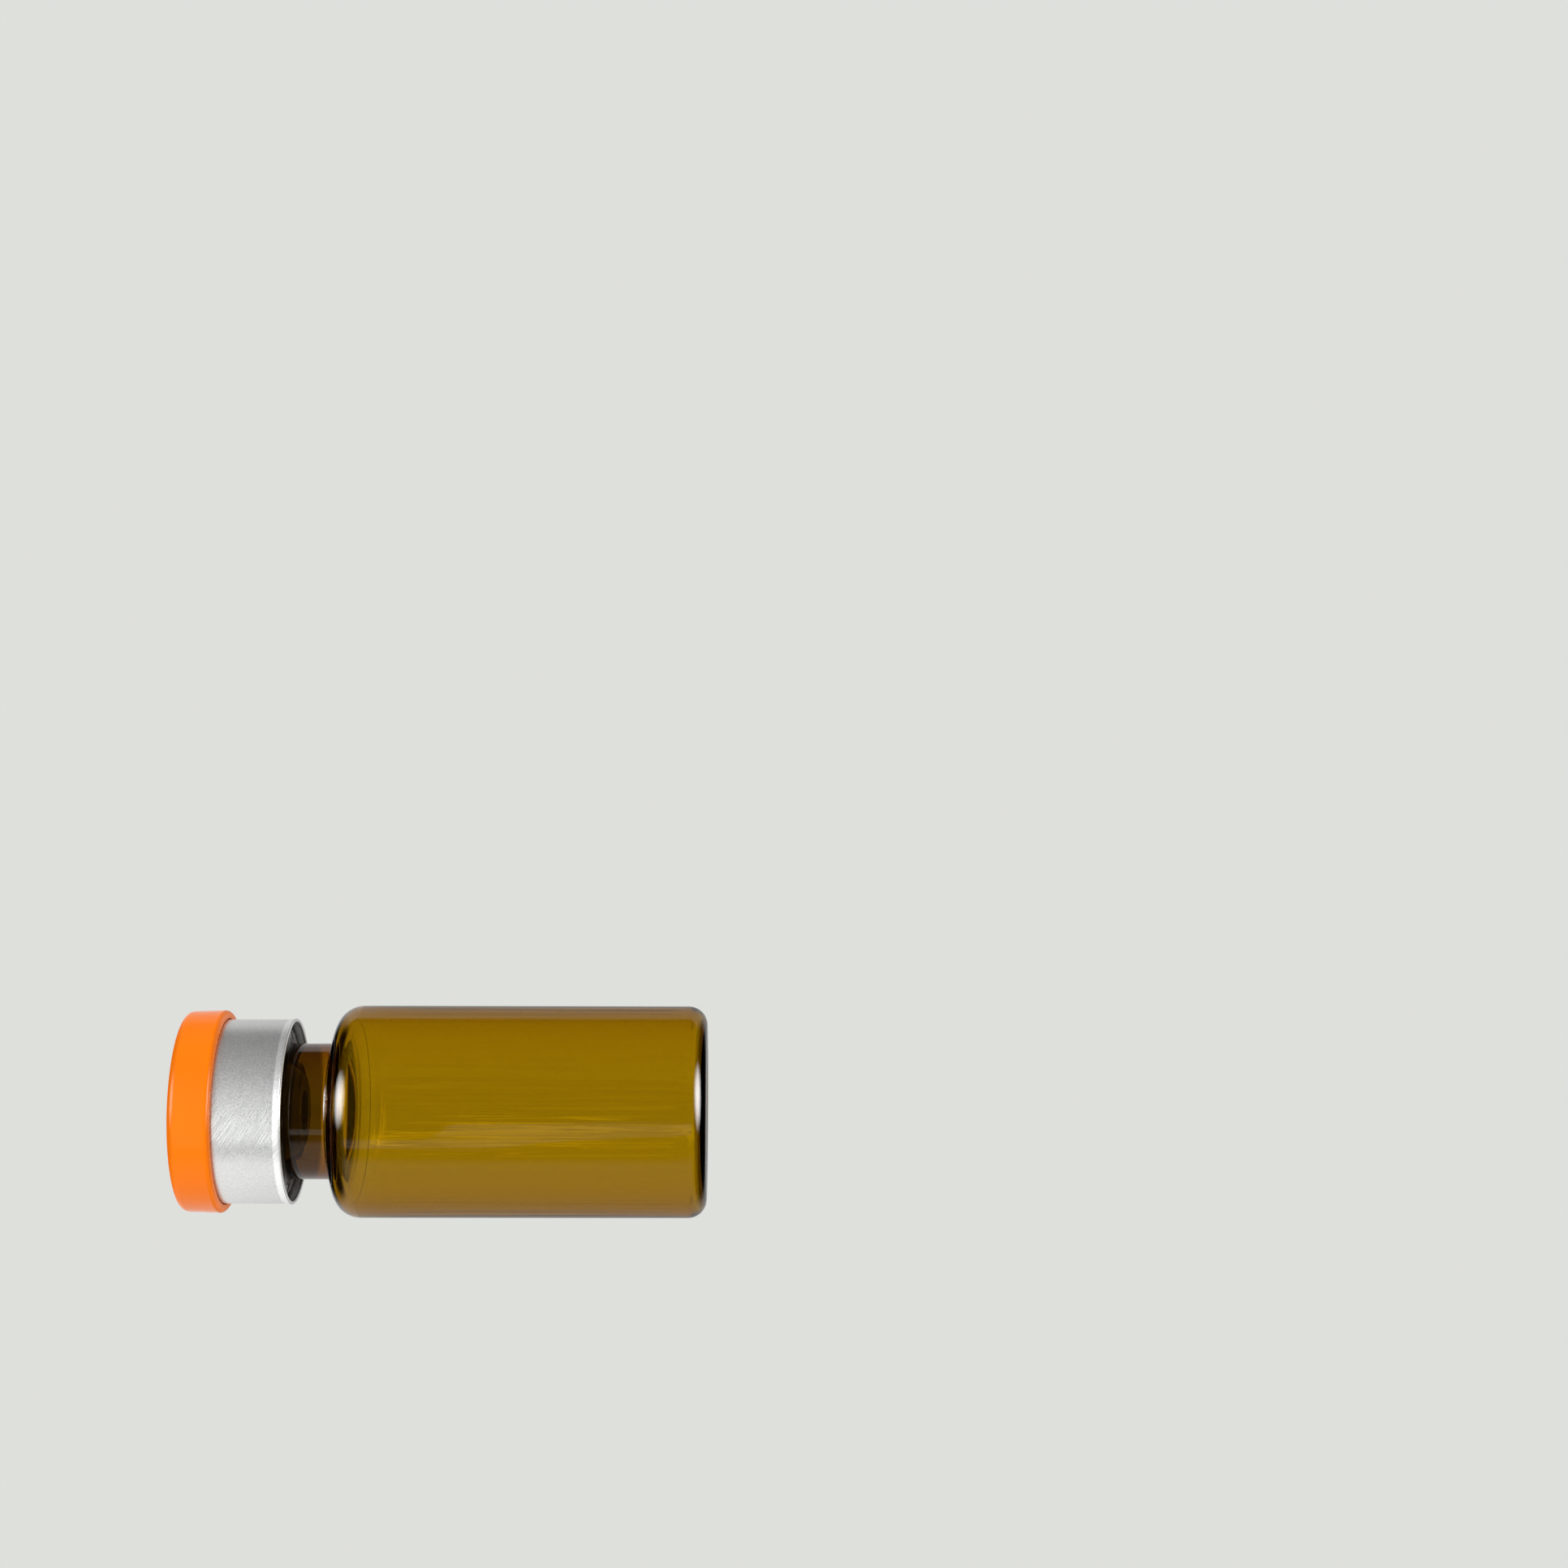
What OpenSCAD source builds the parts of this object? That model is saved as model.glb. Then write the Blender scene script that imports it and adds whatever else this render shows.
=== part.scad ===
// Small amber glass sample vial with a rubber stopper, an aluminium seal and an orange
// plastic button. The vial stands on its base, its axis on Z and the foot ring at z = 0.
// All sizes are in millimetres.

/* [Glass body] */
// Outer diameter of the body
body_d = 15.9; // [15:0.1:20]
// Thickness of the body's wall
body_wall = 0.95; // [0.7:0.05:1.2]
// Height of the flat shoulder above the foot ring
shoulder_h = 27.9; // [18:0.1:45]
// Radius of the rounded edge between body and shoulder
shoulder_r = 1.9; // [1.3:0.1:2.1]
// Thickness of the glass at the shoulder
shoulder_wall = 0.85; // [0.7:0.05:1.5]
// Radius inside, where the body's wall turns into the shoulder
shoulder_inner_r = 1; // [0.6:0.1:1.6]

/* [Base] */
// Radius of the rounded heel at the base
heel_r = 1.4; // [0.8:0.1:1.8]
// Thickness of the glass at the base
base_wall = 0.7; // [0.6:0.05:1.3]
// Radius inside, where the body's wall turns into the base
heel_inner_r = 0.5; // [0.3:0.1:1.6]
// Width of the flat foot ring that the vial stands on
foot_w = 0.8; // [0.4:0.1:1.2]
// Height of the hollow under the middle of the base
base_rise = 0.35; // [0.1:0.05:0.6]

/* [Neck and crown] */
// Outer diameter of the neck where it meets the shoulder
neck_d = 10.2; // [9.6:0.1:10.8]
// How much narrower the neck is just under the crown
neck_draw = 0.02; // [0:0.01:0.3]
// Length of the neck from shoulder to crown
neck_len = 3.75; // [2.8:0.05:6]
// Radius of the hollow fillet from shoulder to neck
neck_fillet_r = 0.4; // [0.2:0.05:0.8]
// Diameter of the bore through neck and crown
bore_d = 7.4; // [6.4:0.1:7.8]
// Radius of the rounded edge where the bore opens into the body
throat_r = 0.5; // [0.3:0.1:1]
// How far the crown stands out past the neck
crown_lip = 1.4; // [1.2:0.05:1.9]
// Height of the crown
crown_h = 3.55; // [3:0.05:4.4]
// Radius of the crown's outer edges
crown_edge_r = 0.45; // [0.2:0.05:0.8]
// Radius of the hollow fillet under the crown
crown_fillet_r = 0.5; // [0.2:0.05:0.8]
// Radius of the edge at the mouth of the bore
mouth_r = 0.3; // [0.1:0.05:0.5]

/* [Rubber stopper] */
// Thickness of the stopper's flange
flange_t = 2.05; // [1.6:0.05:2.8]
// How far the flange's edge stands back from the crown's edge
flange_inset = 0.15; // [0.05:0.05:0.4]
// Radius of the flange's edges
flange_edge_r = 0.3; // [0.1:0.05:0.5]
// Length of the plug below the flange
plug_len = 4.9; // [4.2:0.1:6.4]
// Width of the bevel round the plug's lower end
plug_bevel = 1; // [0.3:0.05:1.2]
// Height of that bevel
plug_bevel_h = 1.1; // [0.5:0.1:1.8]
// Diameter of the hollow in the plug
plug_hollow_d = 3.2; // [2:0.1:4.4]
// Depth of the hollow in the plug, to the top of its dome
plug_hollow_h = 3.4; // [2.4:0.1:5.4]

/* [Aluminium seal] */
// Thickness of the aluminium sheet
seal_t = 0.2; // [0.15:0.01:0.3]
// Gap between the crown and the seal's skirt
seal_gap = 0.2; // [0.1:0.02:0.4]
// Height of the seal from its open rim to its top
seal_h = 6.4; // [5.8:0.1:7.4]
// Outer radius of the bend between the seal's top and skirt
seal_bend_r = 0.6; // [0.4:0.05:0.9]
// How far the skirt flares out at its open rim
rim_flare = 0.04; // [0.02:0.01:0.1]
// Height of the flared stretch at the rim
rim_flare_h = 0.6; // [0.4:0.05:1]
// Radius of the small bead that shearing leaves along the rim
rim_bead_r = 0.12; // [0.11:0.01:0.18]
// Diameter of the tear-out disc in the seal's top
tear_d = 5.4; // [4.8:0.1:6.2]
// Width of the slots pierced round the tear-out disc
slot_w = 0.25; // [0.15:0.05:0.4]
// Width of each bridge that holds the tear-out disc
bridge_w = 0.5; // [0.3:0.05:0.8]
// Number of bridges
bridge_count = 3; // [2:1:6]

/* [Flip-up button] */
// Height of the button above the seal's top
button_rise = 1.85; // [1.5:0.05:2.6]
// How far the button's skirt reaches down over the seal
button_lap = 1.28; // [0.9:0.02:1.8]
// Gap between the seal and the button's skirt
button_gap = 0.08; // [0.04:0.02:0.2]
// Thickness of the button's skirt at its lower edge
button_skirt_t = 0.62; // [0.45:0.01:1]
// Draft of the skirt, measured as the step in from lower edge to top
button_draft = 0.1; // [0.04:0.02:0.3]
// Thickness of the button's top
button_web = 0.95; // [0.7:0.05:1.2]
// Radius of the button's top edge
button_edge_r = 0.57; // [0.2:0.01:0.65]
// Radius of the outer edge at the bottom of the skirt
button_lip_r = 0.34; // [0.1:0.02:0.4]
// Middle diameter of the ring that the button sits on
seat_d = 9.4; // [8.6:0.1:10.4]
// Width of that ring
seat_w = 0.8; // [0.5:0.05:1.2]
// Diameter of the stem through the tear-out disc
stem_d = 2.2; // [1.6:0.1:2.6]
// Diameter of the stem's formed head under the disc
head_d = 3.2; // [2.9:0.1:3.6]
// Thickness of the stem's head
head_t = 0.3; // [0.2:0.05:0.45]
// Clearance round the stem's head in the stopper
head_gap = 0.12; // [0.06:0.02:0.3]

/* [Hidden] */
$fn = 96;

// A little extra by which one cutting shape runs past another
past = 0.05;

body_r = body_d / 2;
bore_r = bore_d / 2;
neck_r = neck_d / 2;
neck_top_r = neck_r - neck_draw / 2;
crown_r = neck_r + crown_lip;
cavity_r = body_r - body_wall;
cavity_top = shoulder_h - shoulder_wall;

crown_z = shoulder_h + neck_len;
glass_h = crown_z + crown_h;

// The hollow under the base is part of a sphere through the foot ring's inner edge
foot_r = body_r - heel_r - foot_w;
base_sphere_r = (foot_r * foot_r + base_rise * base_rise) / (2 * base_rise);

flange_r = crown_r - flange_inset;
plug_low = glass_h - plug_len;
seal_under = glass_h + flange_t;
seal_top = seal_under + seal_t;
seal_rim = seal_top - seal_h;
seal_in_r = crown_r + seal_gap;
seal_r = seal_in_r + seal_t;

button_in_r = seal_r + button_gap;
button_low_r = button_in_r + button_skirt_t;
button_top_r = button_low_r - button_draft;
button_low = seal_top - button_lap;
button_top = seal_top + button_rise;
web_under = button_top - button_web;

stem_r = stem_d / 2;
head_r = head_d / 2;
head_low = seal_under - head_t;

// A direction one unit long
function unit(v) = v / norm(v);

// The small piece between a corner of a profile and a circle tangent to its two sides.
// The sides leave the corner along side_a and side_b. The piece rounds an edge when it is
// taken away and fills a hollow corner when it is added.
module corner(at, side_a, side_b, r) {
    a = unit(side_a);
    b = unit(side_b);
    half_turn = acos(a * b) / 2;
    reach = r / tan(half_turn);
    middle = at + unit(a + b) * r / sin(half_turn);
    difference() {
        polygon([
            at - (a + b) * past, at + a * reach - b * past, at + a * reach,
            middle, at + b * reach, at + b * reach - a * past,
        ]);
        translate(middle) circle(r);
    }
}

// Keeps the part of a profile that lies on the positive side of the axis
module right_of_axis() {
    intersection() {
        children();
        translate([0, -past]) square([2 * body_d, button_top + 2 * past]);
    }
}

// The space rolled in between shoulder and crown, which leaves the neck standing
module neck_groove() {
    neck_side = [neck_top_r - neck_r, neck_len];
    difference() {
        polygon([
            [neck_r, shoulder_h], [body_d, shoulder_h],
            [body_d, crown_z], [neck_top_r, crown_z],
        ]);
        corner([neck_r, shoulder_h], [1, 0], neck_side, neck_fillet_r);
        corner([neck_top_r, crown_z], [1, 0], -neck_side, crown_fillet_r);
    }
}

module glass_outline() {
    neck_block_r = neck_r + max(neck_fillet_r, crown_fillet_r);
    difference() {
        union() {
            square([body_r, shoulder_h]);
            translate([0, shoulder_h - past]) square([neck_block_r, neck_len + 2 * past]);
            translate([0, crown_z]) square([crown_r, crown_h]);
        }
        corner([body_r, 0], [-1, 0], [0, 1], heel_r);
        corner([body_r, shoulder_h], [-1, 0], [0, -1], shoulder_r);
        corner([crown_r, crown_z], [-1, 0], [0, 1], crown_edge_r);
        corner([crown_r, glass_h], [-1, 0], [0, -1], crown_edge_r);
        translate([0, base_rise - base_sphere_r]) circle(base_sphere_r);
        neck_groove();
    }
}

module glass_cavity() {
    difference() {
        translate([0, base_wall]) square([cavity_r, cavity_top - base_wall]);
        corner([cavity_r, base_wall], [-1, 0], [0, 1], heel_inner_r);
        corner([cavity_r, cavity_top], [-1, 0], [0, -1], shoulder_inner_r);
        translate([0, base_wall + base_rise - base_sphere_r]) circle(base_sphere_r);
    }
    translate([0, cavity_top - past]) square([bore_r, glass_h - cavity_top + 2 * past]);
    corner([bore_r, cavity_top], [1, 0], [0, 1], throat_r);
    corner([bore_r, glass_h], [1, 0], [0, -1], mouth_r);
}

// Drawn from amber glass tube and formed hot in one piece
module glass_vial() {
    color([0.56, 0.43, 0.05])
        rotate_extrude()
            right_of_axis()
                difference() {
                    glass_outline();
                    glass_cavity();
                }
}

module stopper_outline() {
    plug_r = bore_r;
    difference() {
        translate([0, glass_h]) square([flange_r, flange_t]);
        corner([flange_r, glass_h], [-1, 0], [0, 1], flange_edge_r);
        corner([flange_r, seal_under], [-1, 0], [0, -1], flange_edge_r);
    }
    polygon([
        [0, plug_low], [plug_r - plug_bevel, plug_low],
        [plug_r, plug_low + plug_bevel_h], [plug_r, glass_h + past], [0, glass_h + past],
    ]);
}

// Moulded rubber: a flange on the crown and a hollow plug in the bore
module rubber_stopper() {
    dome_r = plug_hollow_d / 2;
    color([0.36, 0.36, 0.37])
        rotate_extrude()
            right_of_axis()
                difference() {
                    stopper_outline();
                    translate([0, plug_low - past])
                        square([dome_r, plug_hollow_h - dome_r + past]);
                    translate([0, plug_low + plug_hollow_h - dome_r]) circle(dome_r);
                    translate([0, head_low - head_gap])
                        square([head_r + head_gap, head_t + head_gap + past]);
                }
}

module seal_profile() {
    skirt_low = seal_rim + rim_bead_r;
    flare_z = seal_rim + rim_flare_h;
    difference() {
        polygon([
            [0, skirt_low], [seal_r + rim_flare, skirt_low], [seal_r, flare_z],
            [seal_r, seal_top], [0, seal_top],
        ]);
        corner([seal_r, seal_top], [-1, 0], [0, -1], seal_bend_r);
        difference() {
            polygon([
                [0, skirt_low - past], [seal_in_r + rim_flare, skirt_low - past],
                [seal_in_r + rim_flare, skirt_low], [seal_in_r, flare_z],
                [seal_in_r, seal_under], [0, seal_under],
            ]);
            corner([seal_in_r, seal_under], [-1, 0], [0, -1], seal_bend_r - seal_t);
        }
    }
    translate([seal_in_r + rim_flare + seal_t / 2, skirt_low]) circle(rim_bead_r);
}

// The slots between the tear-out disc and the rest of the top, with the bridges left in
module tear_slots() {
    translate([0, 0, seal_under - past])
        linear_extrude(seal_t + 2 * past)
            difference() {
                circle(tear_d / 2 + slot_w);
                circle(tear_d / 2);
                for (i = [0 : bridge_count - 1])
                    rotate(i * 360 / bridge_count)
                        translate([0, -bridge_w / 2]) square([tear_d, bridge_w]);
            }
}

// Drawn from thin sheet: a cup whose skirt still hangs straight, not crimped to the glass
module aluminium_seal() {
    color([0.78, 0.79, 0.8])
        difference() {
            rotate_extrude() right_of_axis() seal_profile();
            translate([0, 0, seal_under - past]) cylinder(h = seal_t + 2 * past, r = stem_r);
            tear_slots();
        }
}

module button_profile() {
    skirt_side = [button_top_r - button_low_r, button_top - button_low];
    difference() {
        polygon([
            [0, button_low], [button_low_r, button_low],
            [button_top_r, button_top], [0, button_top],
        ]);
        corner([button_low_r, button_low], [-1, 0], skirt_side, button_lip_r);
        corner([button_top_r, button_top], [-1, 0], -skirt_side, button_edge_r);
        translate([0, button_low - past]) square([button_in_r, web_under - button_low + past]);
    }
    translate([(seat_d - seat_w) / 2, seal_top]) square([seat_w, web_under - seal_top + past]);
    translate([0, head_low]) square([stem_r, web_under - head_low + past]);
    translate([0, head_low]) square([head_r, head_t]);
}

// Moulded orange plastic, held to the tear-out disc by its stem
module cap_button() {
    color([1, 0.5, 0.02])
        rotate_extrude() right_of_axis() button_profile();
}

glass_vial();
rubber_stopper();
aluminium_seal();
cap_button();
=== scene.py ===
# Small amber glass sample vial, closed with a rubber stopper, an aluminium seal that isn't
# crimped yet and an orange flip-up button. It stands on its foot ring with its axis on Z,
# and the camera lies on its side, so the vial lies across the picture, button to the left.
# The sizes in each section are in millimetres, and the finished meshes are in metres.
import math

import bmesh
import bpy
from mathutils import Matrix, Vector


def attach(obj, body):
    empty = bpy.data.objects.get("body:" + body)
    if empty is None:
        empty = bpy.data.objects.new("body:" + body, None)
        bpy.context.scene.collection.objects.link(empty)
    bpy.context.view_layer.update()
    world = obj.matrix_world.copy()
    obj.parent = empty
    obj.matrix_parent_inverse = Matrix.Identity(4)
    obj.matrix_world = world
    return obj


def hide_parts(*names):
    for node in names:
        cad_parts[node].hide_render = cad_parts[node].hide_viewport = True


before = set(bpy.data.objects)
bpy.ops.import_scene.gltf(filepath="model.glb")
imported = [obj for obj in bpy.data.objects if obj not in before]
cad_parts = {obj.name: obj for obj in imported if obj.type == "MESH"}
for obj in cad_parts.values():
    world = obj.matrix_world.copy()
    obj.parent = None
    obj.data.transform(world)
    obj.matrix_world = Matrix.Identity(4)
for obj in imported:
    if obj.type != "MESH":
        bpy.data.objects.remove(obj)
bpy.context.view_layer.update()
scene = bpy.context.scene
scene.view_settings.view_transform = "Standard"
MM = 0.001

# The camera: it looks at the middle of a square picture from 20 cm away, a little below the
# foot ring, and is turned a quarter so that the vial's axis runs from right to left.
camera_data = bpy.data.cameras.new("camera")
camera_data.sensor_width = 36
camera_data.lens = 59.787
camera_data.clip_start = 0.01
camera = bpy.data.objects.new("camera", camera_data)
right, up, back = (
    Vector((0.003699, -0.016899, -0.999850)),
    Vector((0.999993, 0, 0.003699)),
    Vector((-0.000063, -0.999857, 0.016899)),
)
camera.matrix_world = Matrix.Translation(Vector((24.863, -197.469, -2.400)) * MM) @ Matrix(
    (right, up, back)
).transposed().to_4x4()
scene.collection.objects.link(camera)
scene.camera = camera

# The stage: a pale matt floor under the vial. The camera lies below its level, so seen from
# beneath, and for mirrored light, the floor lets the pale room through.
FLOOR_SIZE = 1600
FLOOR_COLOUR = (0.70, 0.71, 0.69, 1)
ROOM_COLOUR = (0.735, 0.745, 0.715, 1)


def plain_material(name):
    """A new material with its tree, its shader and its output"""
    material = bpy.data.materials.new(name)
    material.use_nodes = True
    tree = material.node_tree
    return material, tree, tree.nodes["Principled BSDF"], tree.nodes["Material Output"]


def joined(tree, operation, first, second=None, third=None):
    """A Math node; each input is a number or the socket that feeds it"""
    node = tree.nodes.new("ShaderNodeMath")
    node.operation = operation
    for socket, value in zip(node.inputs, (first, second, third)):
        if value is None:
            continue
        if isinstance(value, (int, float)):
            socket.default_value = value
        else:
            tree.links.new(value, socket)
    return node.outputs[0]


floor_mesh = bpy.data.meshes.new("floor")
half = FLOOR_SIZE / 2 * MM
floor_mesh.from_pydata(
    [(-half, -half, 0), (half, -half, 0), (half, half, 0), (-half, half, 0)], [], [(0, 1, 2, 3)]
)
floor = bpy.data.objects.new("floor", floor_mesh)
scene.collection.objects.link(floor)
floor_material, tree, shader, output = plain_material("floor_matt")
shader.inputs["Base Color"].default_value = FLOOR_COLOUR
shader.inputs["Roughness"].default_value = 0.9
shader.inputs["Specular IOR Level"].default_value = 0.1
path = tree.nodes.new("ShaderNodeLightPath")
side = tree.nodes.new("ShaderNodeNewGeometry")
clear = tree.nodes.new("ShaderNodeBsdfTransparent")
mix = tree.nodes.new("ShaderNodeMixShader")
mirrored = joined(
    tree, "MULTIPLY", path.outputs["Is Glossy Ray"], path.outputs["Is Reflection Ray"]
)
seen_through = joined(
    tree, "MAXIMUM", side.outputs["Backfacing"],
    joined(tree, "MAXIMUM", path.outputs["Is Shadow Ray"], mirrored),
)
tree.links.new(seen_through, mix.inputs[0])
tree.links.new(shader.outputs[0], mix.inputs[1])
tree.links.new(clear.outputs[0], mix.inputs[2])
tree.links.new(mix.outputs[0], output.inputs["Surface"])
floor_mesh.materials.append(floor_material)

# The room: pale and even where the camera looks straight at it, dark in front where surfaces
# mirror it, with a pale strip and pale sides, and streaked and dimmer in places where glass is
# seen through. Rough surfaces also mirror a lit upper room and a pale floor.
# A soft step of light is given as its start, its end, and its levels before and after
ROOM_LIGHT = 0.74
SHADE_LIGHT = 0.04
FILL_RISE = (-0.2, 1.0, 0.62, 0.92)
STEEP_FADE = (0.35, 0.6, 1.0, 0.02)
NECK_RISE = (0.13, 0.16, 1.0, 1.7)
HIGH_RISE = (0.170, 0.195, 0.0, 1.0)
HIGH_FADE = (0.55, 0.75, 1.0, 0.02)
FLOOR_FADE = (-0.45, -0.2, 0.55, 0.0)
# Turn round the vial in degrees, from the camera's side towards +X, and how bright it is
ROOM_RING = (
    (-180, 0.36), (-131, 0.36), (-107, 0.27), (-52, 0.26), (-43, 0.03), (-37, 0.01),
    (126, 0.01), (131, 0.33), (180, 0.36),
)
HIGH_RING = (
    (-180, 0.25), (-145, 0.3), (-112, 0.8), (-60, 1.2), (-44, 0.5), (-24, 1.6), (4, 1.3),
    (30, 0.74), (62, 0.58), (100, 0.46), (140, 0.2), (180, 0.2),
)
# Streaks are given as their size in degrees of turn, and their least and most light
STREAK_DETAIL = 2
STREAK_SPAN = (0.35, 0.65)
# Each edge of the strip moves from one turn at the vial's foot to another at its neck
STRIP_LIGHT = 0.36
STRIP_STREAKS = (2.5, 0.55, 1.3)
STRIP_EDGES = (
    ((0.03, 0.10, math.radians(-18), math.radians(-33)), 0.0, 1.0),
    ((0.104, 0.122, math.radians(-6), math.radians(-24)), 1.0, 0.0),
)
STRIP_SOFT = math.radians(2)
GAP_TURN = math.radians(-19.5)
GAP_FADE = (0.0, math.radians(4), 0.7, 0.0)
GAP_RISE = (0.085, 0.105, 0.0, 1.0)
# Seen through the vial the same strip lies straight behind it and is much narrower
BEHIND_TURN = math.radians(-171.02)
BEHIND_SHARE = -0.048
BEHIND_START = math.radians(-19.5)
BEHIND_FADE = (0.137, 0.147, 0.37, 0.0)
BACK_TURN = math.radians(-172.8)
BACK_REACH = math.radians(11)
BACK_LEVEL = 0.94
BACK_GAIN = 0.7
BACK_STREAKS = (0.35, 0.94, 1.04)
BACK_DIM = (math.radians(0.8), math.radians(2.4), 0.91, 1.0)
BAND_HEIGHT = 0.1575
BAND_FADE = (0.0035, 0.0055, 0.34, 1.0)

world = bpy.data.worlds.new("room")
world.use_nodes = True
scene.world = world
tree = world.node_tree
tree.nodes.clear()
output = tree.nodes.new("ShaderNodeOutputWorld")
direction = tree.nodes.new("ShaderNodeTexCoord")
parts = tree.nodes.new("ShaderNodeSeparateXYZ")
tree.links.new(direction.outputs["Generated"], parts.inputs[0])
height = parts.outputs["Z"]
toward_camera = joined(tree, "MULTIPLY", parts.outputs["Y"], -1.0)
turn = joined(tree, "ARCTAN2", parts.outputs["X"], toward_camera)
turn_share = joined(tree, "MULTIPLY_ADD", turn, 1 / math.tau, 0.5)
path = tree.nodes.new("ShaderNodeLightPath")


def ramp(value, start, end, first=0.0, last=1.0):
    """A soft step from first to last while the value goes from start to end"""
    tree = value.node.id_data
    node = tree.nodes.new("ShaderNodeMapRange")
    node.interpolation_type = "SMOOTHSTEP"
    given = {"Value": value, "From Min": start, "From Max": end, "To Min": first, "To Max": last}
    for name, item in given.items():
        if isinstance(item, (int, float)):
            node.inputs[name].default_value = item
        else:
            tree.links.new(item, node.inputs[name])
    return node.outputs["Result"]


def ring_light(levels):
    """How bright the room is all round, from its stops"""
    ring = tree.nodes.new("ShaderNodeValToRGB")
    stops = ring.color_ramp.elements
    for i, (degrees, level) in enumerate(levels):
        stop = stops[i] if i < 2 else stops.new(1)
        stop.position = degrees / 360 + 0.5
        stop.color = (level, level, level, 1)
    tree.links.new(turn_share, ring.inputs[0])
    return ring.outputs["Color"]


def streaked(value, size, least, most):
    """A level that changes with the turn alone, in lines of about that many degrees"""
    lines = tree.nodes.new("ShaderNodeTexNoise")
    lines.noise_dimensions = "1D"
    lines.inputs["Scale"].default_value = 1 / math.radians(size)
    lines.inputs["Detail"].default_value = STREAK_DETAIL
    tree.links.new(value, lines.inputs["W"])
    return ramp(lines.outputs["Fac"], *STREAK_SPAN, least, most)


def strip_at(value):
    """How bright the strip is at a turn: it narrows from one side towards the vial's foot and
    from the other towards its neck, where a dimmer line parts it"""
    strip = streaked(value, *STRIP_STREAKS)
    for edge_rise, first, last in STRIP_EDGES:
        edge = ramp(height, *edge_rise)
        low = joined(tree, "SUBTRACT", edge, STRIP_SOFT)
        high = joined(tree, "ADD", edge, STRIP_SOFT)
        strip = joined(tree, "MULTIPLY", strip, ramp(value, low, high, first, last))
    from_gap = joined(tree, "ABSOLUTE", joined(tree, "SUBTRACT", value, GAP_TURN))
    gap = joined(tree, "MULTIPLY", ramp(from_gap, *GAP_FADE), ramp(height, *GAP_RISE))
    return joined(tree, "MULTIPLY", strip, joined(tree, "SUBTRACT", 1.0, gap))


def pale(strength):
    """A room light of one pale colour"""
    shade = tree.nodes.new("ShaderNodeBackground")
    shade.inputs["Color"].default_value = (1, 1, 0.98, 1)
    tree.links.new(strength, shade.inputs["Strength"])
    return shade.outputs[0]


def chosen(ray, shade, other):
    """One shade for one kind of ray, the other for the rest"""
    mix = tree.nodes.new("ShaderNodeMixShader")
    tree.links.new(path.outputs[ray], mix.inputs[0])
    tree.links.new(other, mix.inputs[1])
    tree.links.new(shade, mix.inputs[2])
    return mix.outputs[0]


# What is mirrored: the ring and the strip for all, and the upper room and floor for the rough
strip = joined(tree, "MULTIPLY", strip_at(turn), STRIP_LIGHT)
steep = ramp(joined(tree, "ABSOLUTE", height), *STEEP_FADE)
around = joined(tree, "ADD", ring_light(ROOM_RING), strip)
around = joined(tree, "MULTIPLY", around, steep)
around = joined(tree, "MULTIPLY", around, ramp(height, *NECK_RISE))
over = joined(tree, "MULTIPLY", ramp(height, *HIGH_RISE), ramp(height, *HIGH_FADE))
over = joined(tree, "MULTIPLY", ring_light(HIGH_RING), over)
over = joined(tree, "ADD", over, ramp(height, *FLOOR_FADE))
rough = joined(tree, "SUBTRACT", 1.0, path.outputs["Is Singular Ray"])
around = joined(tree, "MULTIPLY_ADD", rough, over, around)

# What glass lets through: brighter a little to each side of straight behind the vial
matt = joined(tree, "MINIMUM", path.outputs["Diffuse Depth"], 1.0)
through = joined(tree, "MULTIPLY", steep, ramp(matt, 0.0, 1.0, ROOM_LIGHT, SHADE_LIGHT))
from_back = joined(tree, "SUBTRACT", turn, BACK_TURN)
from_back = joined(tree, "ABSOLUTE", joined(tree, "WRAP", from_back, math.pi, -math.pi))
from_back = joined(tree, "MINIMUM", from_back, BACK_REACH)
back = joined(tree, "MULTIPLY_ADD", from_back, BACK_GAIN, BACK_LEVEL)
through = joined(tree, "MULTIPLY", through, back)
through = joined(tree, "MULTIPLY", through, streaked(turn, *BACK_STREAKS))
through = joined(tree, "MULTIPLY", through, ramp(from_back, *BACK_DIM))
behind = joined(tree, "SUBTRACT", turn, BEHIND_TURN)
behind = joined(tree, "MULTIPLY_ADD", behind, 1 / BEHIND_SHARE, BEHIND_START)
behind = joined(tree, "MULTIPLY", strip_at(behind), ramp(height, *BEHIND_FADE))
through = joined(tree, "MULTIPLY_ADD", through, behind, through)
from_band = joined(tree, "ABSOLUTE", joined(tree, "SUBTRACT", height, BAND_HEIGHT))
through = joined(tree, "MULTIPLY", through, ramp(from_band, *BAND_FADE))

seen = tree.nodes.new("ShaderNodeBackground")
seen.inputs["Color"].default_value = ROOM_COLOUR
room_light = chosen("Is Glossy Ray", pale(around), pale(ramp(height, *FILL_RISE)))
room_light = chosen("Is Transmission Ray", pale(through), room_light)
tree.links.new(chosen("Is Camera Ray", seen.outputs[0], room_light), output.inputs["Surface"])

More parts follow.
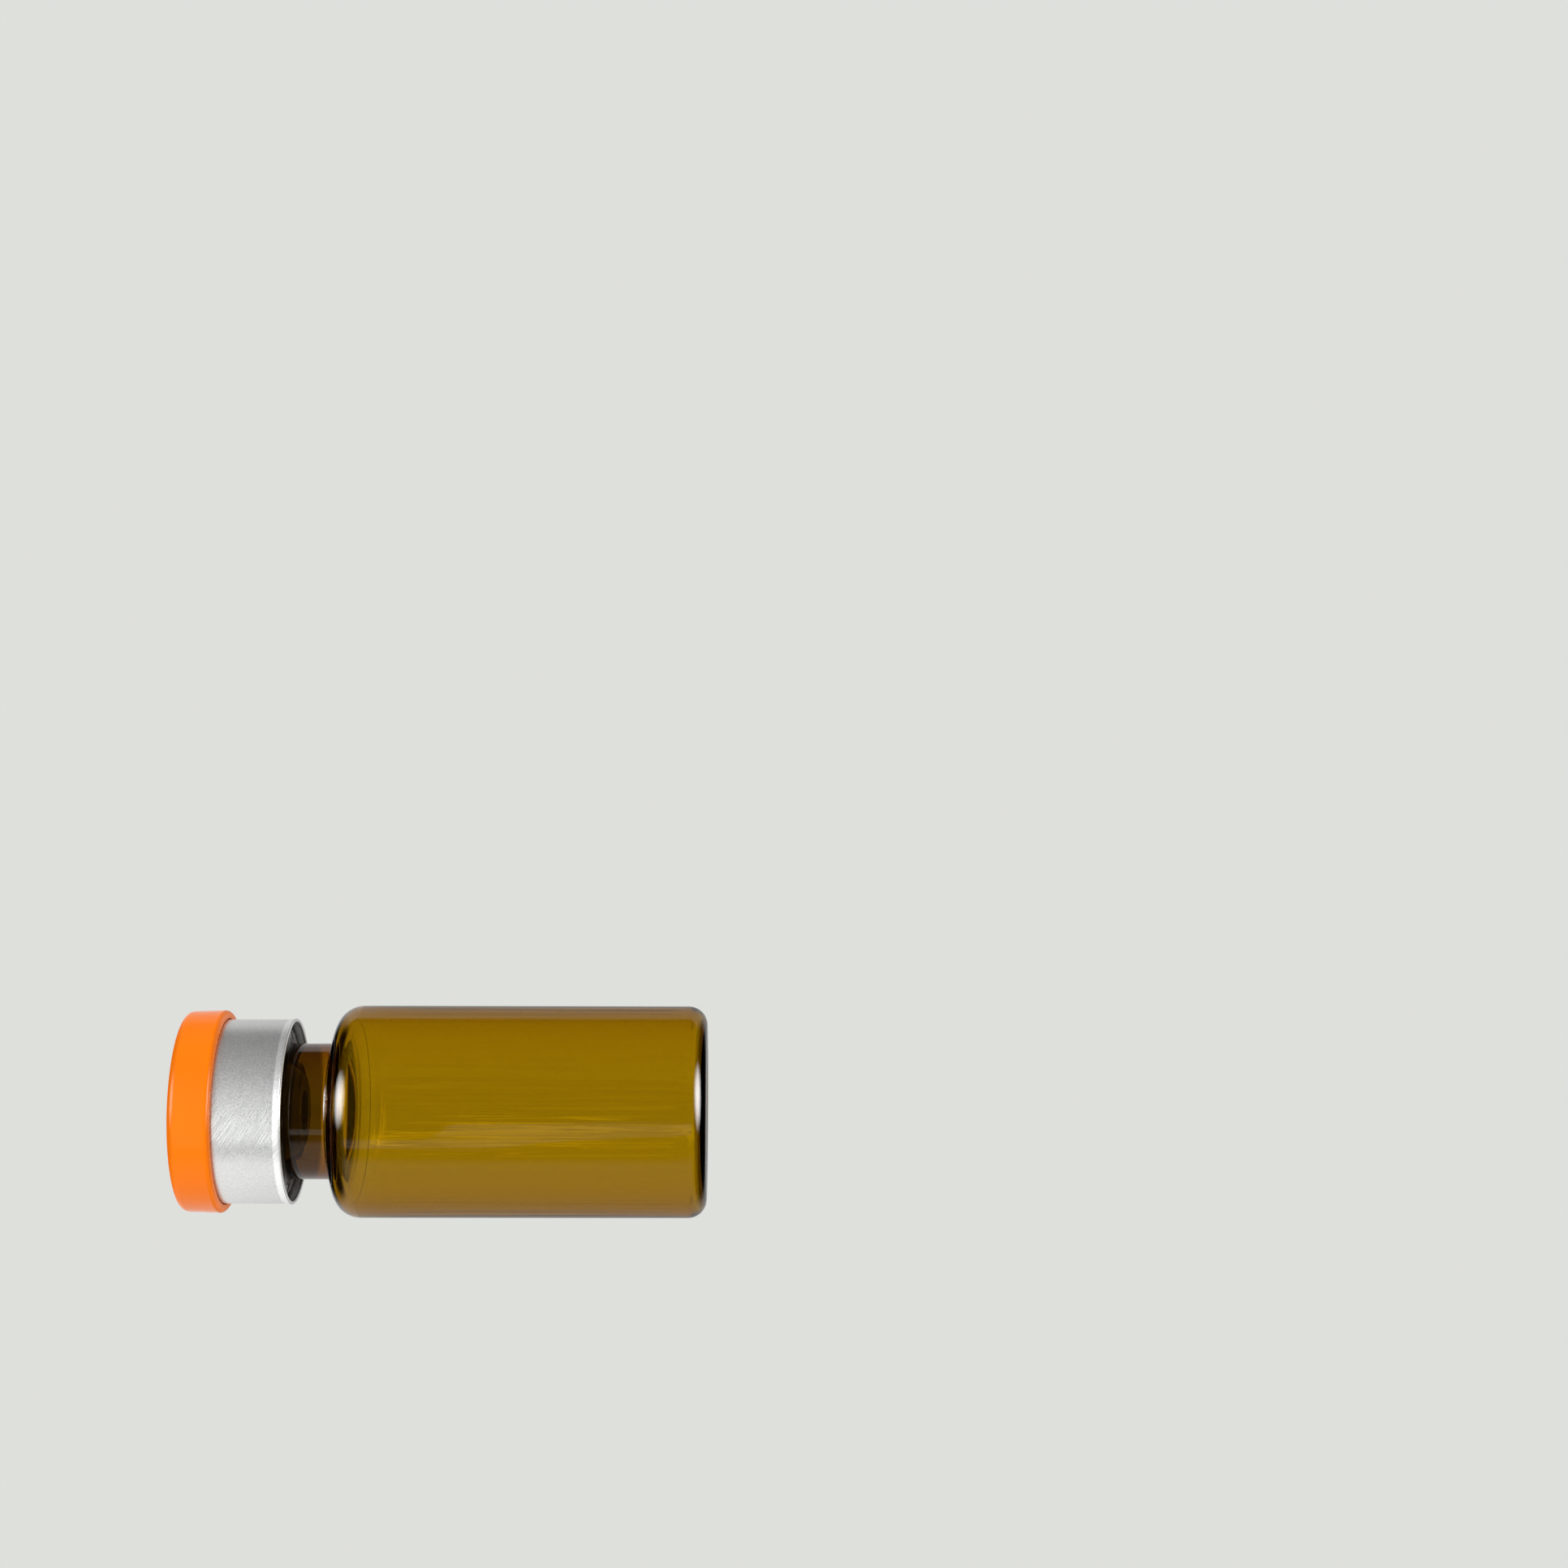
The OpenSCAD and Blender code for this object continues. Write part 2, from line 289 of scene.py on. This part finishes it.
# Round soft lamps in front of the vial, past its button and past its base. One pair is bright,
# mostly in its middle, and is only mirrored, in the glass and in the button: the white lights
# on the shoulder and on the heel. The other pair is weak and even, and lights all but the glass.
LAMP_DISTANCE = 500
LAMP_AIM_Z = 18
LAMP_SIZE = 560
MATT_LAMP_SIZE = 280
LAMPS = (
    ("mirrored_top", (0.26, -0.60, 0.76), 15),
    ("mirrored_low", (0.245, -0.303, -0.92), 15),
    ("matt_top", (0.26, -0.60, 0.76), 1.0),
    ("matt_low", (0.15, -0.65, -0.74), 0.9),
)
polished = bpy.data.collections.new("polished")
all_but_glass = bpy.data.collections.new("all_but_glass")
for name, aim, power in LAMPS:
    lamp_data = bpy.data.lights.new(name, "AREA")
    lamp_data.shape = "DISK"
    lamp_data.size = LAMP_SIZE * MM
    lamp_data.energy = power
    lamp = bpy.data.objects.new(name, lamp_data)
    place = Vector(aim).normalized()
    lamp.matrix_world = (
        Matrix.Translation(place * LAMP_DISTANCE * MM + Vector((0, 0, LAMP_AIM_Z * MM)))
        @ place.to_track_quat("Z", "Y").to_matrix().to_4x4()
    )
    lamp.visible_camera = False
    scene.collection.objects.link(lamp)
    if name.startswith("matt"):
        lamp_data.size = MATT_LAMP_SIZE * MM
        lamp.light_linking.receiver_collection = all_but_glass
        continue
    lamp.light_linking.receiver_collection = polished
    lamp.visible_diffuse = False
    lamp_data.use_nodes = True
    tree = lamp_data.node_tree
    spot = tree.nodes.new("ShaderNodeNewGeometry")
    from_middle = tree.nodes.new("ShaderNodeVectorMath")
    from_middle.operation = "DISTANCE"
    from_middle.inputs[1].default_value = (0.5, 0.5, 0)
    tree.links.new(spot.outputs["Parametric"], from_middle.inputs[0])
    share = joined(tree, "MULTIPLY", from_middle.outputs["Value"], 2.0)
    inner = joined(tree, "SUBTRACT", 1.0, joined(tree, "POWER", share, 2.0))
    glow = joined(tree, "POWER", joined(tree, "MAXIMUM", inner, 0.0), 2.0)
    tree.links.new(glow, tree.nodes["Emission"].inputs["Strength"])

# The glass vial: amber glass tube, drawn, then formed hot into shoulder, neck and crown,
# and closed by a base that is pushed up a little, so that it stands on a ring.
BODY_R = 7.95
BODY_WALL = 0.95
SHOULDER_H = 27.9
SHOULDER_R = 1.9
SHOULDER_WALL = 0.85
SHOULDER_INNER_R = 1.0
HEEL_R = 1.4
BASE_WALL = 0.7
HEEL_INNER_R = 0.5
FOOT_W = 0.8
BASE_RISE = 0.35
NECK_R = 5.1
NECK_TOP_R = 5.09
NECK_LEN = 3.75
NECK_FILLET_R = 0.4
BORE_R = 3.7
THROAT_R = 0.5
CROWN_R = 6.5
CROWN_H = 3.55
CROWN_EDGE_R = 0.45
CROWN_FILLET_R = 0.5
MOUTH_R = 0.3
GLASS_SEGMENTS = 256
GLASS_IOR = 1.52
GLASS_ABSORBS = (0.874, 0.788, 0.0, 1)
GLASS_DENSITY = 3500
# Size across, depth, strength and stretch of the draw lines, which only the straight body has
DRAW_LINES = (0.9, 0.03, 1.0, 60)
DRAW_RISE = (0.0012, 0.003, 0.0, 1.0)
DRAW_FADE = (0.021, 0.0255, 1.0, 0.0)
BEND_STEP = math.radians(7)
FLAT_MARGIN = 0.06
DOME_STEPS = 24
SHARP_EDGE = math.radians(35)
BROAD_SIZE = 3.0


def rounded(corners):
    """Points of a section from its corners (radius, height, rounding), with a close point
    at each end of a straight stretch, so that smooth shading stays off the flats"""
    points = []
    for i, (r, z, bend) in enumerate(corners):
        here = Vector((r, z))
        if not bend:
            points.append(here)
            continue
        to_last = (Vector(corners[i - 1][:2]) - here).normalized()
        to_next = (Vector(corners[(i + 1) % len(corners)][:2]) - here).normalized()
        half_turn = to_last.angle(to_next) / 2
        reach = bend / math.tan(half_turn)
        middle = here + (to_last + to_next).normalized() * bend / math.sin(half_turn)
        first = here + to_last * reach - middle
        last = here + to_next * reach - middle
        sweep = math.pi - 2 * half_turn
        steps = max(3, math.ceil(sweep / BEND_STEP))
        for step in range(steps + 1):
            t = step / steps
            points.append(
                middle
                + (first * math.sin((1 - t) * sweep) + last * math.sin(t * sweep)) / math.sin(sweep)
            )
    out = [points[0]]
    for here, there in zip(points, points[1:]):
        length = (there - here).length
        if length > 4 * FLAT_MARGIN:
            out.append(here.lerp(there, FLAT_MARGIN / length))
            out.append(here.lerp(there, 1 - FLAT_MARGIN / length))
        if length > 1e-6:
            out.append(there)
    return [(p.x, p.y) for p in out]


def dome(height, rise, radius):
    """Points of a shallow dome from its middle to its edge"""
    sphere = (radius * radius + rise * rise) / (2 * rise)
    reaches = [radius * i / DOME_STEPS for i in range(DOME_STEPS + 1)]
    return [(reach, height - sphere + math.sqrt(sphere**2 - reach**2)) for reach in reaches]


def turning_tree():
    """Geometry nodes that turn a section, drawn as a line in X and Z, round the Z axis"""
    tree = bpy.data.node_groups.new("turned_section", "GeometryNodeTree")
    tree.interface.new_socket("Section", in_out="INPUT", socket_type="NodeSocketGeometry")
    segments = tree.interface.new_socket("Segments", in_out="INPUT", socket_type="NodeSocketInt")
    finish = tree.interface.new_socket("Material", in_out="INPUT", socket_type="NodeSocketMaterial")
    tree.interface.new_socket("Solid", in_out="OUTPUT", socket_type="NodeSocketGeometry")

    def add(kind, **settings):
        node = tree.nodes.new(kind)
        for key, value in settings.items():
            setattr(node, key, value)
        return node

    def link(source, target):
        tree.links.new(source, target)

    given = add("NodeGroupInput")
    count = add("GeometryNodeAttributeDomainSize", component="MESH")
    link(given.outputs["Section"], count.inputs["Geometry"])
    columns = add("FunctionNodeIntegerMath", operation="ADD")
    link(given.outputs["Segments"], columns.inputs[0])
    columns.inputs[1].default_value = 1
    grid = add("GeometryNodeMeshGrid")
    link(columns.outputs[0], grid.inputs["Vertices X"])
    link(count.outputs["Point Count"], grid.inputs["Vertices Y"])
    index = add("GeometryNodeInputIndex")
    row = add("FunctionNodeIntegerMath", operation="MODULO")
    link(index.outputs[0], row.inputs[0])
    link(count.outputs["Point Count"], row.inputs[1])
    column = add("FunctionNodeIntegerMath", operation="DIVIDE_FLOOR")
    link(index.outputs[0], column.inputs[0])
    link(count.outputs["Point Count"], column.inputs[1])
    place = add("GeometryNodeInputPosition")
    sample = add("GeometryNodeSampleIndex", data_type="FLOAT_VECTOR")
    link(given.outputs["Section"], sample.inputs["Geometry"])
    link(place.outputs[0], sample.inputs["Value"])
    link(row.outputs[0], sample.inputs["Index"])
    along = add("ShaderNodeSeparateXYZ")
    link(sample.outputs[0], along.inputs[0])
    share = add("ShaderNodeMath", operation="DIVIDE")
    link(column.outputs[0], share.inputs[0])
    link(given.outputs["Segments"], share.inputs[1])
    angle = add("ShaderNodeMath", operation="MULTIPLY")
    link(share.outputs[0], angle.inputs[0])
    angle.inputs[1].default_value = math.tau
    around = add("ShaderNodeCombineXYZ")
    for axis, operation in (("X", "COSINE"), ("Y", "SINE")):
        wave = add("ShaderNodeMath", operation=operation)
        link(angle.outputs[0], wave.inputs[0])
        reach = add("ShaderNodeMath", operation="MULTIPLY")
        link(wave.outputs[0], reach.inputs[0])
        link(along.outputs["X"], reach.inputs[1])
        link(reach.outputs[0], around.inputs[axis])
    link(along.outputs["Z"], around.inputs["Z"])
    move = add("GeometryNodeSetPosition")
    link(grid.outputs["Mesh"], move.inputs["Geometry"])
    link(around.outputs[0], move.inputs["Position"])
    merge = add("GeometryNodeMergeByDistance")
    link(move.outputs[0], merge.inputs["Geometry"])
    merge.inputs["Distance"].default_value = 1e-7
    smooth = add("GeometryNodeSetShadeSmooth")
    link(merge.outputs[0], smooth.inputs["Geometry"])
    whole = add("GeometryNodeRealizeInstances")
    link(smooth.outputs[0], whole.inputs[0])
    paint = add("GeometryNodeSetMaterial")
    link(whole.outputs[0], paint.inputs["Geometry"])
    link(given.outputs["Material"], paint.inputs["Material"])
    done = add("NodeGroupOutput")
    link(paint.outputs[0], done.inputs["Solid"])
    return tree, segments.identifier, finish.identifier


TURNING, SEGMENTS_INPUT, MATERIAL_INPUT = turning_tree()


def turned(name, section, segments, material):
    """A solid of revolution as a plain mesh, with its sharp edges kept sharp"""
    line = bpy.data.meshes.new(name + "_section")
    line.from_pydata(
        [(r * MM, 0, z * MM) for r, z in section], [(i, i + 1) for i in range(len(section) - 1)], []
    )
    piece = bpy.data.objects.new(name, line)
    scene.collection.objects.link(piece)
    turn = piece.modifiers.new("turn", "NODES")
    turn.node_group = TURNING
    turn[SEGMENTS_INPUT] = segments
    turn[MATERIAL_INPUT] = material
    depsgraph = bpy.context.evaluated_depsgraph_get()
    mesh = bpy.data.meshes.new_from_object(piece.evaluated_get(depsgraph), depsgraph=depsgraph)
    piece.modifiers.remove(turn)
    mesh.name = name
    mesh.set_sharp_from_angle(angle=SHARP_EDGE)
    piece.data = mesh
    return piece


crown_z = SHOULDER_H + NECK_LEN
glass_h = crown_z + CROWN_H
cavity_r = BODY_R - BODY_WALL
cavity_top = SHOULDER_H - SHOULDER_WALL
foot_r = BODY_R - HEEL_R - FOOT_W
outside = rounded([
    (foot_r, 0, 0),
    (BODY_R, 0, HEEL_R),
    (BODY_R, SHOULDER_H, SHOULDER_R),
    (NECK_R, SHOULDER_H, NECK_FILLET_R),
    (NECK_TOP_R, crown_z, CROWN_FILLET_R),
    (CROWN_R, crown_z, CROWN_EDGE_R),
    (CROWN_R, glass_h, CROWN_EDGE_R),
    (BORE_R, glass_h, MOUTH_R),
    (BORE_R, cavity_top, THROAT_R),
    (cavity_r, cavity_top, SHOULDER_INNER_R),
    (cavity_r, BASE_WALL, HEEL_INNER_R),
    (foot_r, BASE_WALL, 0),
])
under_base = dome(BASE_RISE, BASE_RISE, foot_r)
over_base = dome(BASE_WALL + BASE_RISE, BASE_RISE, foot_r)
glass_section = under_base[:-1] + outside + over_base[-2::-1]


def own_axes(tree):
    """The piece's own coordinates, whole and as its X, Y and Z"""
    place = tree.nodes.new("ShaderNodeTexCoord").outputs["Object"]
    parts = tree.nodes.new("ShaderNodeSeparateXYZ")
    tree.links.new(place, parts.inputs[0])
    return place, parts.outputs


def grain_group():
    """A node group of fine and broad noise in the piece's own coordinates, with a bump normal;
    its stretch draws the grain out along the vial's axis"""
    group = bpy.data.node_groups.new("surface_grain", "ShaderNodeTree")
    for name, value in (
        ("Grain Size", 0.2), ("Stretch", 1.0), ("Broad Size", BROAD_SIZE), ("Depth", 0.005),
        ("Strength", 0.5),
    ):
        socket = group.interface.new_socket(name, in_out="INPUT", socket_type="NodeSocketFloat")
        socket.default_value = value
    group.interface.new_socket("Grain", in_out="OUTPUT", socket_type="NodeSocketFloat")
    group.interface.new_socket("Broad", in_out="OUTPUT", socket_type="NodeSocketFloat")
    group.interface.new_socket("Normal", in_out="OUTPUT", socket_type="NodeSocketVector")
    given = group.nodes.new("NodeGroupInput")
    done = group.nodes.new("NodeGroupOutput")
    place, axes = own_axes(group)
    drawn = group.nodes.new("ShaderNodeCombineXYZ")
    group.links.new(axes["X"], drawn.inputs["X"])
    group.links.new(axes["Y"], drawn.inputs["Y"])
    shrunk = joined(group, "DIVIDE", axes["Z"], given.outputs["Stretch"])
    group.links.new(shrunk, drawn.inputs["Z"])
    for source, size, target in (
        (drawn.outputs[0], "Grain Size", "Grain"), (place, "Broad Size", "Broad")
    ):
        noise = group.nodes.new("ShaderNodeTexNoise")
        noise.inputs["Detail"].default_value = 3
        group.links.new(source, noise.inputs["Vector"])
        group.links.new(joined(group, "DIVIDE", 1 / MM, given.outputs[size]), noise.inputs["Scale"])
        group.links.new(noise.outputs["Fac"], done.inputs[target])
        if target == "Grain":
            fine = noise.outputs["Fac"]
    bump = group.nodes.new("ShaderNodeBump")
    group.links.new(given.outputs["Strength"], bump.inputs["Strength"])
    group.links.new(joined(group, "MULTIPLY", given.outputs["Depth"], MM), bump.inputs["Distance"])
    group.links.new(fine, bump.inputs["Height"])
    group.links.new(bump.outputs["Normal"], done.inputs["Normal"])
    return group


GRAIN = grain_group()


def grained(tree, shader, grain_size, depth, strength, stretch=1.0):
    """The grain group placed in a material, its normal on the shader"""
    grain = tree.nodes.new("ShaderNodeGroup")
    grain.node_tree = GRAIN
    values = (grain_size, stretch, BROAD_SIZE, depth, strength)
    for socket, value in zip(grain.inputs, values):
        socket.default_value = value
    tree.links.new(grain.outputs["Normal"], shader.inputs["Normal"])
    return grain


amber, tree, shader, output = plain_material("amber_glass")
shader.inputs["Base Color"].default_value = (1, 1, 1, 1)
shader.inputs["Roughness"].default_value = 0
shader.inputs["IOR"].default_value = GLASS_IOR
shader.inputs["Transmission Weight"].default_value = 1
absorb = tree.nodes.new("ShaderNodeVolumeAbsorption")
absorb.inputs["Color"].default_value = GLASS_ABSORBS
absorb.inputs["Density"].default_value = GLASS_DENSITY
tree.links.new(absorb.outputs[0], output.inputs["Volume"])
grain = grained(tree, shader, *DRAW_LINES)
_, axes = own_axes(tree)
drawn = joined(tree, "MULTIPLY", ramp(axes["Z"], *DRAW_RISE), ramp(axes["Z"], *DRAW_FADE))
tree.links.new(drawn, grain.inputs["Strength"])

vial = turned("amber_vial", glass_section, GLASS_SEGMENTS, amber)
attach(vial, "root")
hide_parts("glass_vial")
polished.objects.link(vial)
all_but_glass.objects.link(vial)
for member in all_but_glass.collection_objects:
    member.light_linking.link_state = "EXCLUDE"

# The rubber stopper: moulded grey rubber, a flange that lies on the crown and a hollow plug
# that is pushed into the bore. Only its plug shows, through the glass of the neck.
FLANGE_T = 2.05
FLANGE_INSET = 0.15
FLANGE_EDGE_R = 0.3
PLUG_LEN = 4.9
PLUG_PRESS = 0.015
PLUG_BEVEL = 1.0
PLUG_BEVEL_H = 1.1
PLUG_BEVEL_R = 0.2
PLUG_END_R = 0.15
PLUG_MOUTH_R = 0.1
PLUG_HOLLOW_R = 1.6
PLUG_HOLLOW_H = 3.4
HEAD_T = 0.3
HEAD_R = 1.6
HEAD_GAP = 0.12
RUBBER_SEGMENTS = 192
RUBBER_COLOUR = (0.07, 0.07, 0.07, 1)
# Size, depth and strength of the grain
RUBBER_GRAIN = (0.12, 0.01, 0.6)
RUBBER_ROUGHNESS = (0.5, 0.72)
MOTTLE_SPAN = (0.3, 0.7)

flange_r = CROWN_R - FLANGE_INSET
plug_r = BORE_R + PLUG_PRESS
plug_low = glass_h - PLUG_LEN
seal_under = glass_h + FLANGE_T
head_low = seal_under - HEAD_T
dome_z = plug_low + PLUG_HOLLOW_H - PLUG_HOLLOW_R
dome_turns = [math.radians(5 * i) for i in range(19)]
stopper_section = [
    (PLUG_HOLLOW_R * math.sin(turn), dome_z + PLUG_HOLLOW_R * math.cos(turn)) for turn in dome_turns
] + rounded([
    (PLUG_HOLLOW_R, dome_z - PLUG_MOUTH_R, 0),
    (PLUG_HOLLOW_R, plug_low, PLUG_MOUTH_R),
    (plug_r - PLUG_BEVEL, plug_low, PLUG_END_R),
    (plug_r, plug_low + PLUG_BEVEL_H, PLUG_BEVEL_R),
    (plug_r, glass_h, 0),
    (flange_r, glass_h, FLANGE_EDGE_R),
    (flange_r, seal_under, FLANGE_EDGE_R),
    (HEAD_R + HEAD_GAP, seal_under, 0),
    (HEAD_R + HEAD_GAP, head_low - HEAD_GAP, 0),
    (0, head_low - HEAD_GAP, 0),
])
rubber, tree, shader, output = plain_material("stopper_rubber")
shader.inputs["Base Color"].default_value = RUBBER_COLOUR
grain = grained(tree, shader, *RUBBER_GRAIN)
mottle = ramp(grain.outputs["Broad"], *MOTTLE_SPAN, *RUBBER_ROUGHNESS)
tree.links.new(mottle, shader.inputs["Roughness"])
stopper = turned("stopper", stopper_section, RUBBER_SEGMENTS, rubber)
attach(stopper, "root")
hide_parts("rubber_stopper")

# The aluminium seal: a cup drawn from thin sheet, its skirt still straight and sheared off
# at the open rim, and a tear-out disc in its top.
SEAL_T = 0.2
SEAL_GAP = 0.2
SEAL_H = 6.4
SEAL_BEND_R = 0.6
RIM_FLARE = 0.04
RIM_FLARE_H = 0.6
RIM_FLARE_R = 0.6
RIM_BEAD_R = 0.12
BEAD_STEPS = 24
BEAD_GAP = 0.1
TEAR_R = 2.7
SLOT_W = 0.25
BRIDGE_W = 0.5
BRIDGE_COUNT = 3
STEM_R = 1.1
SEAL_SEGMENTS = 288
SATIN_DARK = (0.80, 0.81, 0.81, 1)
SATIN_LIGHT = (0.97, 0.98, 0.98, 1)
SATIN_SPAN = (0.36, 0.62)
SATIN_GRAIN = (0.12, 0.005, 1.0)
SATIN_ROUGHNESS = (0.32, 0.42)
# The scratches lie aslant on the side that faces the camera, on slightly worn sheet
WORN_RISE = (math.radians(-34), math.radians(-4), 0.0, 1.0)
WORN_FADE = (math.radians(2), math.radians(30), 1.0, 0.0)
WORN_DARKER = -0.14
SCRATCH_LIGHTER = 0.4
SCRATCH_SMOOTHER = -0.12
SCRATCH_SPAN = (0.46, 0.62)
SCRATCH_TURN = math.radians(33)
SCRATCH_LEN = 2.0
SCRATCH_W = 0.08
SCRATCH_DEPTH = 0.002

seal_top = seal_under + SEAL_T
seal_rim = seal_top - SEAL_H
seal_in_r = CROWN_R + SEAL_GAP
seal_r = seal_in_r + SEAL_T
bead_r = seal_in_r + RIM_FLARE + SEAL_T / 2
bead_z = seal_rim + RIM_BEAD_R
flare_z = seal_rim + RIM_FLARE_H
wall_meets_bead = math.acos(SEAL_T / 2 / RIM_BEAD_R)
bead_sweep = math.pi + 2 * wall_meets_bead
bead_turns = [
    math.pi - wall_meets_bead + i * bead_sweep / BEAD_STEPS for i in range(BEAD_STEPS + 1)
]
bead = [
    (bead_r + RIM_BEAD_R * math.cos(turn), bead_z + RIM_BEAD_R * math.sin(turn))
    for turn in bead_turns
]
slot_r = TEAR_R + SLOT_W
seal_section = bead + rounded([
    (seal_r + RIM_FLARE, bead_z + BEAD_GAP, 0),
    (seal_r, flare_z, RIM_FLARE_R),
    (seal_r, seal_top, SEAL_BEND_R),
    (slot_r, seal_top, 0),
    (TEAR_R, seal_top, 0),
    (STEM_R, seal_top, 0),
    (STEM_R, seal_under, 0),
    (TEAR_R, seal_under, 0),
    (slot_r, seal_under, 0),
    (seal_in_r, seal_under, SEAL_BEND_R - SEAL_T),
    (seal_in_r, flare_z, RIM_FLARE_R),
    (seal_in_r + RIM_FLARE, bead_z + BEAD_GAP, 0),
])
seal_section.append(seal_section[0])
aluminium, tree, shader, output = plain_material("seal_aluminium")
shader.inputs["Metallic"].default_value = 1
grain = grained(tree, shader, *SATIN_GRAIN)
_, axes = own_axes(tree)
turn = joined(tree, "ARCTAN2", axes["X"], joined(tree, "MULTIPLY", axes["Y"], -1.0))
along = tree.nodes.new("ShaderNodeCombineXYZ")
tree.links.new(joined(tree, "MULTIPLY", turn, seal_r * MM), along.inputs["X"])
tree.links.new(axes["Z"], along.inputs["Y"])
aslant = tree.nodes.new("ShaderNodeVectorRotate")
aslant.rotation_type = "Z_AXIS"
aslant.inputs["Angle"].default_value = SCRATCH_TURN
tree.links.new(along.outputs[0], aslant.inputs["Vector"])
drawn = tree.nodes.new("ShaderNodeVectorMath")
drawn.operation = "MULTIPLY"
drawn.inputs[1].default_value = (1 / (SCRATCH_LEN * MM), 1 / (SCRATCH_W * MM), 1)
tree.links.new(aslant.outputs[0], drawn.inputs[0])
streaks = tree.nodes.new("ShaderNodeTexNoise")
streaks.inputs["Scale"].default_value = 1
streaks.inputs["Detail"].default_value = 1
tree.links.new(drawn.outputs[0], streaks.inputs["Vector"])
worn = joined(tree, "MULTIPLY", ramp(turn, *WORN_RISE), ramp(turn, *WORN_FADE))
scratch = joined(tree, "MULTIPLY", ramp(streaks.outputs["Fac"], *SCRATCH_SPAN), worn)
sheen = joined(tree, "MULTIPLY_ADD", worn, WORN_DARKER, grain.outputs["Grain"])
sheen = joined(tree, "MULTIPLY_ADD", scratch, SCRATCH_LIGHTER, sheen)
satin = tree.nodes.new("ShaderNodeValToRGB")
for stop, level, colour in zip(satin.color_ramp.elements, SATIN_SPAN, (SATIN_DARK, SATIN_LIGHT)):
    stop.position = level
    stop.color = colour
tree.links.new(sheen, satin.inputs[0])
tree.links.new(satin.outputs["Color"], shader.inputs["Base Color"])
bump = tree.nodes.new("ShaderNodeBump")
bump.inputs["Strength"].default_value = 1
bump.inputs["Distance"].default_value = SCRATCH_DEPTH * MM
tree.links.new(scratch, bump.inputs["Height"])
tree.links.new(grain.outputs["Normal"], bump.inputs["Normal"])
tree.links.new(bump.outputs["Normal"], shader.inputs["Normal"])
mottle = ramp(grain.outputs["Grain"], *MOTTLE_SPAN, *SATIN_ROUGHNESS)
roughness = joined(tree, "MULTIPLY_ADD", scratch, SCRATCH_SMOOTHER, mottle)
tree.links.new(roughness, shader.inputs["Roughness"])
seal = turned("seal", seal_section, SEAL_SEGMENTS, aluminium)


def pierce_slots(mesh):
    """Takes the slots round the tear-out disc out of the sheet and closes their walls"""
    form = bmesh.new()
    form.from_mesh(mesh)
    gone = []
    for face in form.faces:
        middle = face.calc_center_median() / MM
        reach = math.hypot(middle.x, middle.y)
        turn = math.atan2(middle.y, middle.x) % (math.tau / BRIDGE_COUNT)
        from_bridge = min(turn, math.tau / BRIDGE_COUNT - turn)
        flat = abs(face.normal.z) > 0.9
        if flat and TEAR_R < reach < slot_r and from_bridge * reach > BRIDGE_W / 2:
            gone.append(face)
    bmesh.ops.delete(form, geom=gone, context="FACES")
    rims = [edge for edge in form.edges if edge.is_boundary]
    half_way = (seal_under + SEAL_T / 2) * MM
    below = {
        (round(v.co.x, 7), round(v.co.y, 7)): v
        for edge in rims for v in edge.verts if v.co.z < half_way
    }
    for edge in rims:
        first, last = edge.verts
        if first.co.z > half_way:
            first_low, last_low = (below[round(v.co.x, 7), round(v.co.y, 7)] for v in edge.verts)
            form.faces.new((first, last, last_low, first_low))
    bmesh.ops.recalc_face_normals(form, faces=form.faces)
    form.to_mesh(mesh)
    form.free()


pierce_slots(seal.data)
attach(seal, "root")
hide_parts("aluminium_seal")

# The flip-up button: moulded orange plastic, a cap whose skirt laps over the seal, with a
# seat ring and a stem through the tear-out disc. The stem's end is formed into a head.
BUTTON_RISE = 1.85
BUTTON_LAP = 1.28
BUTTON_GAP = 0.08
BUTTON_SKIRT_T = 0.62
BUTTON_DRAFT = 0.1
BUTTON_WEB = 0.95
BUTTON_EDGE_R = 0.57
BUTTON_LIP_R = 0.34
BUTTON_INNER_R = 0.05
HEAD_EDGE_R = 0.08
SEAT_R = 4.7
SEAT_W = 0.8
BUTTON_SEGMENTS = 256
BUTTON_COLOUR = (0.95, 0.19, 0.0, 1)
BUTTON_GRAIN = (0.25, 0.002, 0.5)
BUTTON_ROUGHNESS = (0.16, 0.22)

button_in_r = seal_r + BUTTON_GAP
button_low_r = button_in_r + BUTTON_SKIRT_T
button_top_r = button_low_r - BUTTON_DRAFT
button_low = seal_top - BUTTON_LAP
button_top = seal_top + BUTTON_RISE
web_under = button_top - BUTTON_WEB
button_section = rounded([
    (0, head_low, 0),
    (HEAD_R, head_low, HEAD_EDGE_R),
    (HEAD_R, seal_under, 0),
    (STEM_R, seal_under, 0),
    (STEM_R, web_under, 0),
    (SEAT_R - SEAT_W / 2, web_under, 0),
    (SEAT_R - SEAT_W / 2, seal_top, 0),
    (SEAT_R + SEAT_W / 2, seal_top, 0),
    (SEAT_R + SEAT_W / 2, web_under, 0),
    (button_in_r, web_under, 0),
    (button_in_r, button_low, BUTTON_INNER_R),
    (button_low_r, button_low, BUTTON_LIP_R),
    (button_top_r, button_top, BUTTON_EDGE_R),
    (0, button_top, 0),
])
orange, tree, shader, output = plain_material("button_plastic")
shader.inputs["Base Color"].default_value = BUTTON_COLOUR
shader.inputs["Specular IOR Level"].default_value = 0.14
grain = grained(tree, shader, *BUTTON_GRAIN)
mottle = ramp(grain.outputs["Broad"], *MOTTLE_SPAN, *BUTTON_ROUGHNESS)
tree.links.new(mottle, shader.inputs["Roughness"])
button = turned("button", button_section, BUTTON_SEGMENTS, orange)
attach(button, "root")
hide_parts("cap_button")
polished.objects.link(button)
